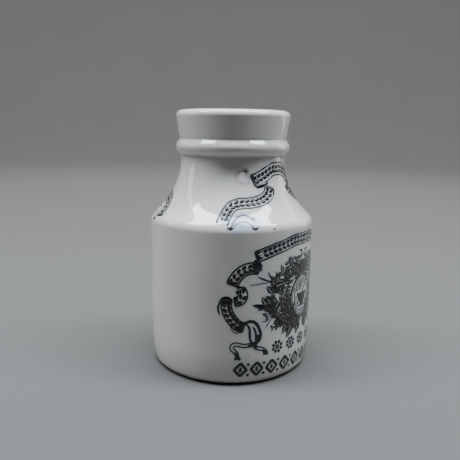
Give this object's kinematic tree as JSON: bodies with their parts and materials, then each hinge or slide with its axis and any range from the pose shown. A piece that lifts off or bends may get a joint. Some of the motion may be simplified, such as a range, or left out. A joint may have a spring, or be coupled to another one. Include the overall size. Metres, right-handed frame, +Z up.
{
  "type": "apothecary jar",
  "caption": "Straight-sided glazed earthenware jar with a bell shoulder, beaded neck, flared tie-down collar and a lift-out cork stopper.",
  "frame": {"origin": "middle of the foot ring's resting plane", "axes": "+Z up along the jar's axis of revolution; -Y is the middle of the printed front"},
  "size_m": [0.0776, 0.0776, 0.12],
  "materials": {
    "fired_clay": "unglazed, matt",
    "white_glaze": "clear gloss glaze over off-white clay",
    "black_print": "black transfer print under the glaze",
    "cork": "natural cork, matt"
  },
  "bodies": {
    "jar": {"clay_body": "fired_clay", "outer_glaze": "white_glaze", "inner_glaze": "white_glaze", "base_glaze": "white_glaze"},
    "stopper": {"cork_stopper": "cork"}
  },
  "joints": [
    {"name": "stopper_lift", "type": "slide", "parent": "jar", "child": "stopper", "axis": [0, 0, 1], "range_m": [0, 0.03]}
  ]
}
